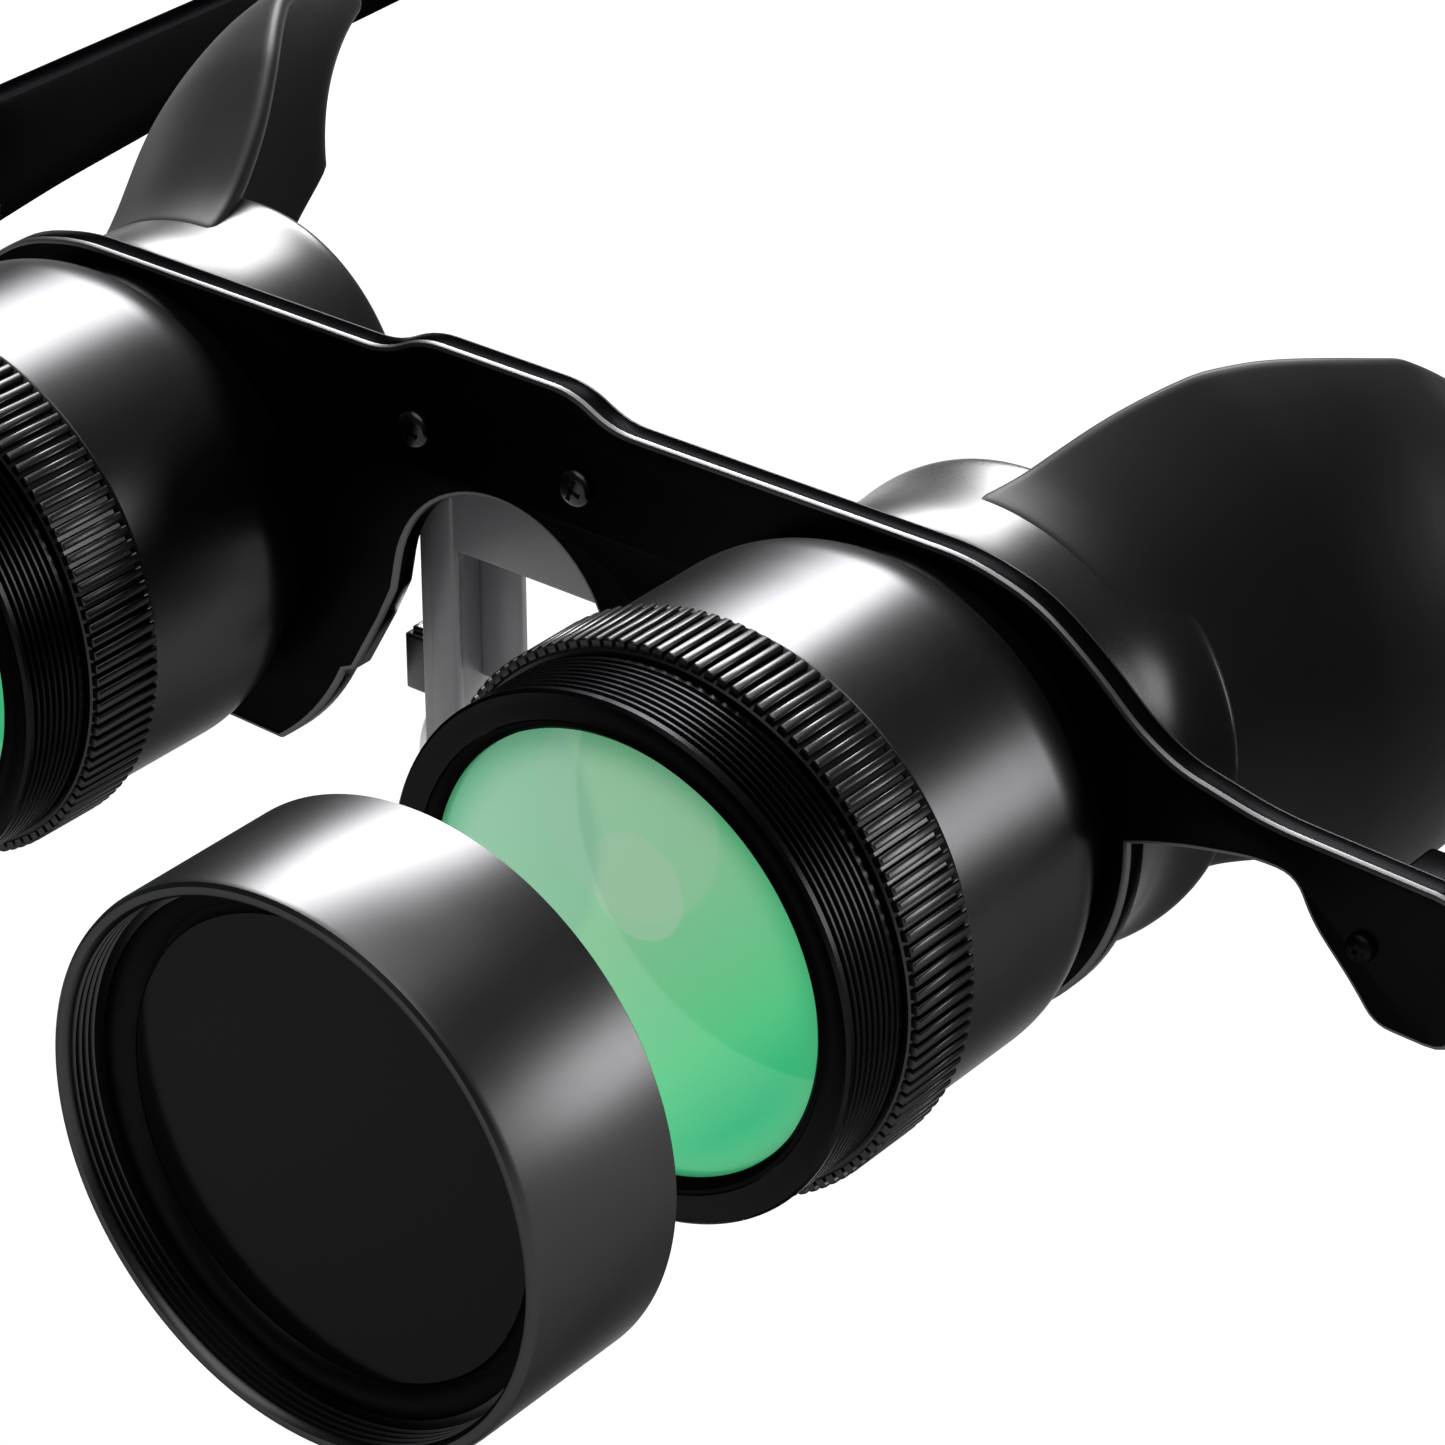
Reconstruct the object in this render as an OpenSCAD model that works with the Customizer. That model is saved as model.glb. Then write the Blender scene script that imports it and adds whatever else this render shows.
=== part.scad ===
// Head-worn binocular glasses: two short telescopes on a flat front plate, with
// folding temples, winged rubber eyecups, a sliding nose rest and pull-off filters.
// Millimetres, +Z up, -Y the way the wearer looks. Left and right are as seen from the front.
// The origin is the middle of the nose rest, midway between the two pads.

/* [Telescopes] */
// Distance between the two optical axes
barrel_spacing = 64; // [62:1:66]
// Outer radius of the telescope body
barrel_r = 17.25; // [17.1:0.05:17.4]
// Outer radius over the ribs of the focus ring
focus_ring_r = 17.95; // [17.8:0.05:18.1]
// Ribs around the focus ring
rib_count = 120; // [90:10:140]
// Depth of the gaps between the ribs
rib_depth = 0.45; // [0.3:0.05:0.6]
// Outer radius of the threaded front ring
front_ring_r = 17; // [16.9:0.05:17.1]
// Fine grooves around the front ring
front_ring_grooves = 7; // [5:1:8]
// Forward travel of the objective when it is focused
focus_travel = 2.5; // [1.5:0.1:2.5]

/* [Filters] */
// Outer radius of a filter
filter_r = 17.6; // [17.5:0.1:18.2]
// Length of a filter along the view
filter_length = 12; // [11.5:0.1:14]
// Gap between a pulled-off filter and the telescope
filter_gap = 16; // [12:0.1:20]

/* [Front plate] */
// Thickness of the front plate
plate_t = 2; // [1.8:0.1:2.2]
// Height of the plate's straight top edge above the axes
plate_top = 16.2; // [15.8:0.1:16.8]
// Height of the bump over the bridge
bump_top = 18.5; // [17.6:0.1:19.2]
// Radius of the plate's rims around the telescopes
rim_r = 17.4; // [17.3:0.1:17.8]
// Radius of the deeper part of each rim beside the nose
nose_rim_r = 20.2; // [19.5:0.1:20.5]
// Distance between the two bridge screws
bridge_screw_spacing = 13.4; // [12.6:0.1:14]

/* [Eyecups] */
// Outer radius of an eyecup at its rim
eyecup_rim_r = 16.4; // [16.2:0.1:16.6]
// Lean of the eyecup's rim, which is deeper at the brow than at the cheek
eyecup_lean = 10.8; // [9:0.1:12]
// How far the side wing reaches behind the plate
wing_reach = 37.5; // [36.5:0.5:38.5]
// Wall of the rubber wing
wing_t = 1.4; // [1.2:0.1:1.8]

/* [Temples] */
// Half the width between the outer faces of the temples
temple_outer_x = 76.1; // [76:0.1:78]
// Thickness of a temple
temple_t = 2.6; // [2.4:0.1:2.8]
// Distance of the fold axis behind the reference plane
fold_y = 18; // [17:0.5:20]
// Straight length of a temple before the ear bend
temple_straight = 74; // [70:1:78]
// Radius of the ear bend
ear_bend_r = 38; // [34:1:42]

/* [Nose rest] */
// Distance of the nose rest behind the reference plane
nose_rest_y = 7; // [6.5:0.5:8]
// Depth of the nose rest below the axes
nose_rest_drop = 16.5; // [16:0.5:18]

/* [Hidden] */

$fn = 96;
left = -1;
right = 1;
fit = 0.05;
axis_x = barrel_spacing / 2;

// Stations are distances forward of the reference plane, so the view is positive.
plate_front = 3.2;
plate_back = plate_front - plate_t;
crease = 9.4;
barrel_end = 19.8;
focus_rear = 20.1;
focus_front = 25.7;
spigot_end = 24.6;
head_rear = 25.9;
head_front = 31;
lens_seat = 27.6;
lens_edge = 29.8;
filter_rear = head_front + filter_gap;
filter_front = filter_rear + filter_length;
eyecup_mid = -7.2;
eyecup_top = -10.2;
wing_root = -4;

spigot_r = 15.6;
sleeve_r = 14.3;
sleeve_bore = 13.2;
lens_r = 15;
lens_clear_r = 14.1;
neck_r = 12.9;
neck_bore = 11;
eye_lens_r = 9.85;
filter_bore = front_ring_r + fit;
filter_thread_r = 16.6;
filter_glass_r = 16;
filter_clear_r = 14.2;

pin_r = 0.9;
pin_station = 17;
clip_station = 22.7;

fold_x = 73.2;
knuckle_r = 2.6;
hinge_pin_r = 1;
arm_top = 5.4;
arm_bottom = -4.8;
temple_x = temple_outer_x - temple_t;
temple_top = 6.6;
ear_start = fold_y + temple_straight;
ear_angle = 40;
ear_tail = 8;
ear_z = 3.2;
bridge_screw_z = 11.5;
leg_x = 8;
leg_w = 2.4;
leg_rear = -5;
leg_front = -0.2;
leg_lip = 0.8;
slider_z = -11.4;
slider_h = 4.6;
slider_w = 3.4;
arch_r = 8.8;
arch_z = -0.6;

// Moves a piece from the axes' own frame to the part's frame.
module framed() translate([0, -nose_rest_y, nose_rest_drop]) children();

// Puts a piece on one side; it is drawn for the right, on the axis of its telescope.
module on_side(side) framed() mirror([side < 0 ? 1 : 0, 0, 0]) children();
module on_axis(side) on_side(side) translate([axis_x, 0, 0]) children();

// Turns a profile of radius and forward station about the telescope's axis.
module turned() rotate([90, 0, 0]) rotate_extrude() children();

// A plain ring between two stations.
module ring(r_out, r_in, rear, front)
    turned() translate([r_in, rear]) square([r_out - r_in, front - rear]);

// A bar along Y, from a side outline drawn as forward station against height.
module side_cut(x_from, x_to) translate([x_from, 0, 0]) rotate([90, 0, 90])
    linear_extrude(x_to - x_from) children();

// A slab between two stations, from an outline drawn as X against Z.
module front_cut(rear, front) translate([0, -rear, 0]) rotate([90, 0, 0])
    linear_extrude(front - rear) children();

// Points of an arc, from one angle to another.
function arc(cx, cy, r, from, to, steps = 12) =
    [for (i = [0:steps]) let (a = from + (to - from) * i / steps) [cx + r * cos(a), cy + r * sin(a)]];

// Points of a shallow dome of a lens from its axis to its edge radius.
function dome(edge_r, edge_h, sag, steps = 10) =
    [for (i = [0:steps]) let (r = edge_r * i / steps) [r, edge_h + sag * (1 - pow(r / edge_r, 2))]];
function reversed(list) = [for (i = [len(list) - 1:-1:0]) list[i]];

// ---------------------------------------------------------------- front plate

// Half the plate: its bridge, the rim around one telescope and the end arm.
module plate_half() {
    difference() {
        union() {
            translate([axis_x, 0]) circle(rim_r);
            translate([axis_x, 0]) intersection() {
                circle(nose_rim_r);
                translate([-nose_rim_r, -nose_rim_r]) square([nose_rim_r - 3, nose_rim_r + plate_top]);
            }
            polygon([
                [0, 8], [0, bump_top], [5, bump_top], [6.4, bump_top - 0.25], [7.6, bump_top - 1],
                [8.8, plate_top + 0.5], [10.4, plate_top], [axis_x + 5.1, plate_top],
                [axis_x + 9.2, plate_top - 1.2], [axis_x + 13.4, plate_top - 3.9],
                [axis_x + 17, plate_top - 7.1], [axis_x + 18.8, plate_top - 8.5],
                [axis_x + 20.6, plate_top - 9.2], [axis_x + 26.2, plate_top - 10.5],
                [72, arm_top], [72, -5.2], [66.2, -4.9], [64.6, -2.6], [61.4, 0.6], [60.2, 3.2],
                [56, 2.4], [52, 1.6], [48, 0.4], [axis_x, 0],
            ]);
            polygon([[0, 8], [arch_r - 0.1, 0], [10.4, -3.6], [13, -8.6], [19, -13], [axis_x, 0]]);
        }
        translate([0, arch_z]) circle(arch_r);
        translate([axis_x - 3, -24]) square([30, 24 - plate_top]);
    }
}

module front_plate() {
    framed() color("#0b0b0c") difference() {
        front_cut(plate_back, plate_front) union() {
            plate_half();
            mirror([1, 0]) plate_half();
        }
        for (side = [left, right]) {
            translate([side * axis_x, 0, 0]) ring(neck_r + fit, 0, plate_back - 1, plate_front + 1);
            translate([side * bridge_screw_spacing / 2, 0, bridge_screw_z])
                ring(0.85, 0, plate_back - 1, plate_front + 1);
            translate([side * 65.2, 0, 0.2]) ring(0.85, 0, plate_back - 1, plate_front + 1);
        }
    }
}

// A small pan-head screw with a cross recess, along the view.
module pan_screw(head_r, shank_r, shank_end) difference() {
    union() {
        ring(head_r, 0, plate_front, plate_front + 0.8);
        ring(shank_r, 0, shank_end, plate_front + 0.1);
    }
    for (turn = [0, 90]) rotate([0, turn, 0])
        translate([-head_r * 0.6, -plate_front - 1, -0.15]) cube([head_r * 1.2, 0.6, 0.3]);
}

module bridge_screws() {
    framed() color("#8c8e90") for (side = [left, right])
        translate([side * bridge_screw_spacing / 2, 0, bridge_screw_z]) pan_screw(1.5, 0.8, -2.2);
}

module bridge_inserts() {
    framed() color("#b08d57") for (side = [left, right])
        translate([side * bridge_screw_spacing / 2, 0, bridge_screw_z])
            ring(1.4, 0.8, -2.4, plate_back - 0.2);
}

// ------------------------------------------------------------------ nose rest

// A plate behind the bridge, two legs that the sliders ride on, and a cross bar.
module nose_bracket() {
    framed() color("#8f9194") difference() {
        union() {
            front_cut(-2.6, plate_back) translate([-9.4, 8.6]) square([18.8, 4.8]);
            front_cut(-2.2, leg_front) translate([-leg_x, 1]) square([2 * leg_x, 3.6]);
            for (side = [left, right]) {
                front_cut(leg_rear, leg_front)
                    translate([side * leg_x - leg_w / 2, -16]) square([leg_w, 26]);
                front_cut(leg_front - leg_lip, leg_front)
                    translate([side * (leg_x + leg_lip / 2) - leg_w / 2 - leg_lip / 2, -16])
                        square([leg_w + leg_lip, 26]);
            }
        }
        for (side = [left, right]) translate([side * bridge_screw_spacing / 2, 0, bridge_screw_z])
            ring(1.4, 0, -2.45, plate_back + 1);
    }
}

// A block behind the lip of a leg that wraps its outer and rear faces.
module nose_slider(side) {
    on_side(side) color("#1b1b1d") difference() {
        front_cut(leg_rear - 1.2, leg_front - leg_lip - fit)
            translate([leg_x - leg_w / 2, slider_z]) square([leg_w / 2 + slider_w + 0.6, slider_h]);
        front_cut(leg_rear - fit, leg_front)
            translate([leg_x - leg_w, slider_z - 1]) square([1.5 * leg_w + fit, slider_h + 2]);
    }
}

// A plated arm from the back of the slider, down to a square peg in the pad.
module pad_arm(side) {
    on_side(side) color("#d8d9dc") translate([leg_x + 3.6, 0, slider_z + 0.8]) {
        ring(0.6, 0, -nose_rest_y - 0.6, leg_rear - 1.2);
        translate([-0.7, nose_rest_y - 0.7, -4.8]) cube([1.4, 1.4, 4.3]);
    }
}

// A soft pad with its broad side towards the nose.
module nose_pad(side) {
    on_side(side) color("#e9ece9") difference() {
        translate([leg_x + 4.2, nose_rest_y, -nose_rest_drop]) rotate([0, 82, 0])
            cylinder(r = 4.6, h = 2.6, center = true);
        translate([leg_x + 2.9, nose_rest_y - 0.7, slider_z - 4]) cube([1.4, 1.4, 5]);
    }
}

// ----------------------------------------------------------- telescope bodies

module barrel_body(side) {
    on_axis(side) color("#121214") difference() {
        turned() polygon(concat(
            [[neck_bore, -1.3], [neck_r, -1.3], [neck_r, plate_front], [15, plate_front]],
            reversed(arc(10.9, crease - 0.1, 6.1, 0, -48)),
            [[barrel_r, crease + 0.1], [barrel_r, barrel_end - 0.4], [barrel_r - 0.4, barrel_end]],
            [[spigot_r, barrel_end], [spigot_r, spigot_end]],
            [[sleeve_r + fit, spigot_end], [sleeve_r + fit, 12], [neck_bore, 10]]
        ));
        ring(spigot_r + 1, spigot_r - 0.4, clip_station - 0.4, clip_station + 0.4);
        translate([0, -pin_station, -barrel_r - 1]) cylinder(r = pin_r, h = 6);
    }
}

// The pin under the body that keeps the objective from turning.
module guide_pin(side) {
    on_axis(side) color("#9a9c9e") translate([0, -pin_station, -barrel_r + 0.3])
        cylinder(r = pin_r, h = barrel_r - 0.3 - 13.4);
}

// The round nut that clamps the telescope to the front plate, with spanner notches.
module clamp_nut(side) {
    on_axis(side) color("#2a2a2d") difference() {
        ring(14.3, neck_r, -1, plate_back);
        for (turn = [0, 90]) rotate([0, turn, 0]) translate([-16, 0, -0.9]) cube([32, 2, 1.8]);
    }
}

module eyepiece_cell(side) {
    on_axis(side) color("#171719") turned() polygon([
        [9.2, 8], [neck_bore - fit, 8], [neck_bore - fit, -1.5], [14.6, -1.5], [14.6, -3.2],
        [eye_lens_r + fit, -3.2], [eye_lens_r + fit, 1.5], [9.2, 1.5],
    ]);
}

module eyepiece_lens(side) {
    on_axis(side) color("#cfe0ea", 0.5) turned() polygon(concat(
        dome(eye_lens_r, 1.5, -0.9),
        reversed(dome(eye_lens_r, -0.9, 0.8))
    ));
}

module eyepiece_retainer(side) {
    on_axis(side) color("#0e0e10") ring(eye_lens_r, 8.6, -2.1, -0.9);
}

// ------------------------------------------------------------------- focusing

// The ribbed outline of the focus ring.
module ribbed_outline() polygon([
    for (i = [0:rib_count - 1], corner = [[0, 0], [0.5, 0], [0.58, 1], [0.92, 1]])
        let (a = 360 * (i + corner[0]) / rib_count, r = focus_ring_r - rib_depth * corner[1])
        [r * cos(a), r * sin(a)]
]);

module focus_ring(side) {
    on_axis(side) color("#1a1a1c") difference() {
        front_cut(focus_rear, focus_front) ribbed_outline();
        ring(spigot_r + fit, 0, focus_rear - 1, spigot_end + 0.3);
        ring(sleeve_r + fit, 0, focus_rear, focus_front + 1);
        ring(spigot_r + 0.55, spigot_r - 1, clip_station - 0.5, clip_station + 0.5);
    }
}

// The split wire ring that keeps the focus ring on the body.
module focus_clip(side) {
    on_axis(side) color("#a4a6a8") difference() {
        ring(spigot_r + 0.4, spigot_r - 0.35, clip_station - 0.3, clip_station + 0.3);
        translate([-2, -clip_station - 1, -spigot_r - 2]) cube([4, 2, 6]);
    }
}

// The sliding sleeve and the threaded head that holds the objective.
module objective_cell(side) {
    on_axis(side) color("#0d0d0e") difference() {
        turned() polygon([
            [sleeve_bore, 13], [sleeve_r, 13], [sleeve_r, head_rear], [front_ring_r, head_rear],
            [front_ring_r, head_front - 0.3], [front_ring_r - 0.3, head_front],
            [lens_r + fit, head_front], [lens_r + fit, lens_seat], [sleeve_bore, lens_seat],
        ]);
        for (i = [0:front_ring_grooves - 1]) translate([0, -head_rear - 0.6 - 0.58 * i, 0])
            ring(front_ring_r + 1, front_ring_r - 0.28, 0, 0.26);
        translate([-pin_r - 0.1, -pin_station - 1.2, -sleeve_r - 1]) cube([2 * pin_r + 0.2, 6, 3]);
    }
}

module objective_seal(side) {
    on_axis(side) color("#202022") turned() translate([14.5, lens_seat + 0.25]) circle(r = 0.24, $fn = 24);
}

module objective_lens(side) {
    on_axis(side) color("#5fe39a", 0.6) turned() polygon(concat(
        reversed(dome(lens_r, lens_edge, 1.5)),
        dome(lens_r, lens_seat + 0.6, -0.8)
    ));
}

module objective_bezel(side) {
    on_axis(side) color("#070708") turned() polygon([
        [lens_clear_r, lens_edge + 0.2], [lens_r, lens_edge], [lens_r, head_front - 0.2],
        [lens_clear_r + 0.2, head_front - 0.35],
    ]);
}

// -------------------------------------------------------------------- filters

module filter_ring(side) {
    on_axis(side) color("#0f0f11") turned() polygon([
        [filter_bore, filter_rear], [filter_r, filter_rear], [filter_r, filter_front - 0.9],
        [filter_r - 0.25, filter_front - 0.2], [filter_r - 0.5, filter_front],
        [filter_thread_r + 0.3, filter_front], [filter_thread_r, filter_front - 0.4],
        [filter_thread_r, filter_front - 2.4], [filter_glass_r + 0.1, filter_front - 2.4],
        [filter_glass_r + 0.1, filter_front - 4.6], [filter_clear_r, filter_front - 4.6],
        [filter_clear_r, filter_front - 6], [filter_bore, filter_front - 6],
    ]);
}

module filter_glass(side) {
    on_axis(side) color("#17191c", 0.8) ring(filter_glass_r, 0, filter_front - 4.6, filter_front - 3.4);
}

// The thin threaded ring that holds the filter glass.
module filter_bezel(side) {
    on_axis(side) color("#0a0a0b")
        ring(filter_glass_r + 0.1, filter_clear_r, filter_front - 3.4, filter_front - 2.6);
}

// -------------------------------------------------------------------- eyecups

// Cuts away what lies behind the leaning plane of an eyecup's rim.
module behind_rim() translate([-60, -eyecup_mid, 0]) rotate([-eyecup_lean, 0, 0])
    translate([0, 0, -60]) cube([120, 60, 120]);

// The cup: a neck over the eyepiece flange, a soft waist and a flared, leaning rim.
module eyecup(side) {
    on_axis(side) color("#1c1c1e") difference() {
        turned() polygon([
            [14.4, 0.9], [15.4, 0.9], [15.7, -0.8], [15.8, -2.4], [15.5, -4.4], [15.6, -6],
            [16, -7.8], [eyecup_rim_r, -9.6], [eyecup_rim_r, eyecup_top - 0.6],
            [eyecup_rim_r - 1, eyecup_top - 0.6], [15, -7.4], [14.3, -5],
            [12.8, -4.3], [12.8, -3.25], [14.65, -3.25], [14.65, -1.45], [14.4, -1.45],
        ]);
        behind_rim();
    }
}

// The wing: a flared rubber skin on the temple side, cut to a leaf outline.
module eyecup_wing(side) {
    on_axis(side) color("#1c1c1e") intersection() {
        turned() polygon([
            [15.5, wing_root], [15.6, -6], [15.9, -8], [17.4, -10.5], [19, -13], [20.8, -15.6],
            [22.1, -18], [23.3, -21], [24.1, -24], [24.3, -27], [24.1, -30], [22.8, -34],
            [21.2, -wing_reach], [21.2 - wing_t, -wing_reach], [22.8 - wing_t, -34],
            [24.1 - wing_t, -30], [24.3 - wing_t, -27], [24.1 - wing_t, -24], [23.3 - wing_t, -21],
            [22.1 - wing_t, -18], [20.8 - wing_t, -15.6], [19 - wing_t, -13],
            [17.4 - wing_t, -10.5], [14.8, -8],
        ]);
        translate([0, 0.1, 0]) behind_rim();
        side_cut(0.2, 40) polygon([
            [3, -15], [6, -11], [9, -7.4], [13, -7.9], [18, -10.2], [21, -11.6], [24, -12.4],
            [27, -11.8], [30, -9.8], [33, -6.8], [36, -3], [wing_reach + 1, 1], [wing_reach, 6],
            [35, 11], [33, 14.2], [30, 17.6], [27, 19.8], [24, 21], [21, 21.5], [18, 21.1],
            [13, 18.8], [8, 17], [3, 17],
        ]);
    }
}

// ------------------------------------------------------- end pieces and hinges

// The block behind the plate's end that carries two of the three hinge knuckles.
module hinge_block(side) {
    on_side(side) color("#0e0e0f") difference() {
        union() {
            front_cut(-3.4, plate_back) polygon([
                [63.2, 0], [65, -1.8], [66.6, arm_bottom + 0.6],
                [73.6, arm_bottom + 0.6], [73.6, 4.4], [63.2, 4.4],
            ]);
            translate([70.4, -plate_back, arm_bottom]) cube([5.7, fold_y - 3.4 + plate_back, 10.2]);
            for (z = [arm_bottom, arm_bottom + 7]) {
                translate([fold_x, fold_y, z]) cylinder(r = knuckle_r, h = 3.2);
                translate([fold_x - knuckle_r, fold_y - 4, z]) cube([2 * knuckle_r, 4, 3.2]);
            }
        }
        translate([fold_x, fold_y, arm_bottom - 1]) cylinder(r = hinge_pin_r, h = 14);
        translate([65.2, 0, 0.2]) ring(0.8, 0, -2.4, plate_back + 1);
    }
}

module hinge_screws() {
    framed() color("#3a3a3c") for (side = [left, right])
        translate([side * 65.2, 0, 0.2]) pan_screw(1.5, 0.8, -2.2);
}

module hinge_pin(side) {
    on_side(side) color("#9a9c9e") translate([fold_x, fold_y, 0]) {
        translate([0, 0, arm_bottom + 0.2]) cylinder(r = hinge_pin_r, h = 10);
        translate([0, 0, arm_bottom + 10.2]) cylinder(r = 1.7, h = 0.6);
    }
}

// Height of the temple's centre line and half height along its ear end.
function ear_points(steps, half) = concat(
    [[ear_start - 6.9, ear_z + half * 0.9]],
    arc(ear_start, ear_z - ear_bend_r, ear_bend_r + half, 90, 90 - ear_angle, steps)
);
function ear_under(steps, half) = concat(
    arc(ear_start, ear_z - ear_bend_r, ear_bend_r - half, 90 - ear_angle, 90, steps),
    [[ear_start - 6.9, ear_z - half * 0.9]]
);
function ear_tail_at(along, across) = [
    ear_start + (ear_bend_r + across) * sin(ear_angle) + along * cos(ear_angle),
    ear_z - ear_bend_r + (ear_bend_r + across) * cos(ear_angle) - along * sin(ear_angle),
];

module temple(side) {
    on_side(side) color("#0a0a0b") difference() {
        union() {
            side_cut(temple_x, temple_outer_x) polygon([
                [fold_y + 3.4, -3.8], [fold_y + 3.4, temple_top], [ear_start - 12, temple_top],
                [ear_start - 7, ear_z + 2], [ear_start - 7, ear_z - 2], [ear_start - 18, 0],
                [fold_y + 40, -0.4], [fold_y + 14, -2.4],
            ]);
            side_cut(temple_x + 0.7, temple_outer_x - 0.7) polygon(concat(
                [[ear_start - 8, ear_z + 1.4]], ear_points(10, 1.4),
                [ear_tail_at(4, 1.2), ear_tail_at(4, -1.2)], ear_under(10, 1.4),
                [[ear_start - 8, ear_z - 1.4]]
            ));
            translate([fold_x, fold_y, arm_bottom + 3.4]) {
                cylinder(r = knuckle_r, h = 3.4);
                translate([-knuckle_r, 0, 0]) cube([temple_outer_x - fold_x + knuckle_r, 5, 3.4]);
            }
        }
        translate([fold_x, fold_y, arm_bottom]) cylinder(r = hinge_pin_r + fit, h = 12);
        translate([temple_outer_x - 0.3, fold_y - 4, arm_bottom]) cube([1, 7.4, 12]);
    }
}

// The soft sleeve over the ear end.
module ear_tip(side) {
    on_side(side) color("#161617") difference() {
        side_cut(temple_x - 0.8, temple_outer_x + 0.8) polygon(concat(
            ear_points(14, 3.2),
            [ear_tail_at(ear_tail - 2, 3.4), ear_tail_at(ear_tail - 0.6, 2.6)],
            [ear_tail_at(ear_tail, 1.2), ear_tail_at(ear_tail, -1.2)],
            [ear_tail_at(ear_tail - 0.6, -2.6), ear_tail_at(ear_tail - 2, -3.4)],
            ear_under(14, 3.2)
        ));
        side_cut(temple_x + 0.7, temple_outer_x - 0.7) polygon(concat(
            [[ear_start - 8, ear_z + 1.4]], ear_points(10, 1.4),
            [ear_tail_at(4, 1.2), ear_tail_at(4, -1.2)], ear_under(10, 1.4),
            [[ear_start - 8, ear_z - 1.4]]
        ));
    }
}

// ----------------------------------------------------------------- every node

front_plate();
bridge_screws();
bridge_inserts();
nose_bracket();
nose_slider(left);  // nose_slider_left
nose_slider(right);  // nose_slider_right
pad_arm(left);  // pad_arm_left
pad_arm(right);  // pad_arm_right
nose_pad(left);  // nose_pad_left
nose_pad(right);  // nose_pad_right
barrel_body(left);  // barrel_body_left
barrel_body(right);  // barrel_body_right
guide_pin(left);  // guide_pin_left
guide_pin(right);  // guide_pin_right
clamp_nut(left);  // clamp_nut_left
clamp_nut(right);  // clamp_nut_right
eyepiece_cell(left);  // eyepiece_cell_left
eyepiece_cell(right);  // eyepiece_cell_right
eyepiece_lens(left);  // eyepiece_lens_left
eyepiece_lens(right);  // eyepiece_lens_right
eyepiece_retainer(left);  // eyepiece_retainer_left
eyepiece_retainer(right);  // eyepiece_retainer_right
focus_ring(left);  // focus_ring_left
focus_ring(right);  // focus_ring_right
focus_clip(left);  // focus_clip_left
focus_clip(right);  // focus_clip_right
objective_cell(left);  // objective_cell_left
objective_cell(right);  // objective_cell_right
objective_seal(left);  // objective_seal_left
objective_seal(right);  // objective_seal_right
objective_lens(left);  // objective_lens_left
objective_lens(right);  // objective_lens_right
objective_bezel(left);  // objective_bezel_left
objective_bezel(right);  // objective_bezel_right
filter_ring(left);  // filter_ring_left
filter_ring(right);  // filter_ring_right
filter_glass(left);  // filter_glass_left
filter_glass(right);  // filter_glass_right
filter_bezel(left);  // filter_bezel_left
filter_bezel(right);  // filter_bezel_right
eyecup(left);  // eyecup_left
eyecup(right);  // eyecup_right
eyecup_wing(left);  // eyecup_wing_left
eyecup_wing(right);  // eyecup_wing_right
hinge_block(left);  // hinge_block_left
hinge_block(right);  // hinge_block_right
hinge_screws();
hinge_pin(left);  // hinge_pin_left
hinge_pin(right);  // hinge_pin_right
temple(left);  // temple_left
temple(right);  // temple_right
ear_tip(left);  // ear_tip_left
ear_tip(right);  // ear_tip_right
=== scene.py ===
# %% [markdown]
# # Binocular glasses, as a lesson in modelling and finishes
# The object is a pair of head-worn binocular glasses: two short telescopes on a flat
# black front plate, with folding temples, rubber eyecups with side wings, a sliding
# nose rest and two dark filters pulled off in front. The engineering model is loaded
# first and never changed. Each step then builds one finished piece at the place
# that the engineering model gives for it.

# %% Load the engineering model
import math

import bmesh
import bpy
from mathutils import Matrix, Vector


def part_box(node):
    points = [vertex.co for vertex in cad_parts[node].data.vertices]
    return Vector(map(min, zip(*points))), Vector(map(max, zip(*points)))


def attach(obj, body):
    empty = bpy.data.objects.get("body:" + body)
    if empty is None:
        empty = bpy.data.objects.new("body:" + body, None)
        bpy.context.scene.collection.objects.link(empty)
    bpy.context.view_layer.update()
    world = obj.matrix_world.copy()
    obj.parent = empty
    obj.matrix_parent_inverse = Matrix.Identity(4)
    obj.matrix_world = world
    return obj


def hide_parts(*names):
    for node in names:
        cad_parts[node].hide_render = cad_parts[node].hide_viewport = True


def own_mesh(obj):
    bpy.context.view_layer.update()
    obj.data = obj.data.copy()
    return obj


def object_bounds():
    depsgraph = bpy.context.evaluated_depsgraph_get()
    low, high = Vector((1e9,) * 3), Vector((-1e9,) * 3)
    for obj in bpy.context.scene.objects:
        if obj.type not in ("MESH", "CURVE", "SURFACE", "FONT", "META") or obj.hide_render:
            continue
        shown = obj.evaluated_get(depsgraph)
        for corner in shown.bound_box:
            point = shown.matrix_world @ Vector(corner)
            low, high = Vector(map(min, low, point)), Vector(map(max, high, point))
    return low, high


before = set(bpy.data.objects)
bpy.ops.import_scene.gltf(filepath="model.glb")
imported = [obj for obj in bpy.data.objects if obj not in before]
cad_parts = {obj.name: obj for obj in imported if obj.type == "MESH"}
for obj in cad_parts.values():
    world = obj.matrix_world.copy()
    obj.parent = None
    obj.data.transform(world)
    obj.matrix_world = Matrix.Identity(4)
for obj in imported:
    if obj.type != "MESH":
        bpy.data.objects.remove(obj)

CAD_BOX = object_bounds()
MM = 0.001
SIDES = {"left": -1, "right": 1}

# %% [markdown]
# ## Where things are
# A telescope is a stack of turned parts, so it is easiest to describe every part by
# radius and by station, which is the distance forward from one reference plane. Both
# optical axes and that plane are measured from the nodes' own boxes.

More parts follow.
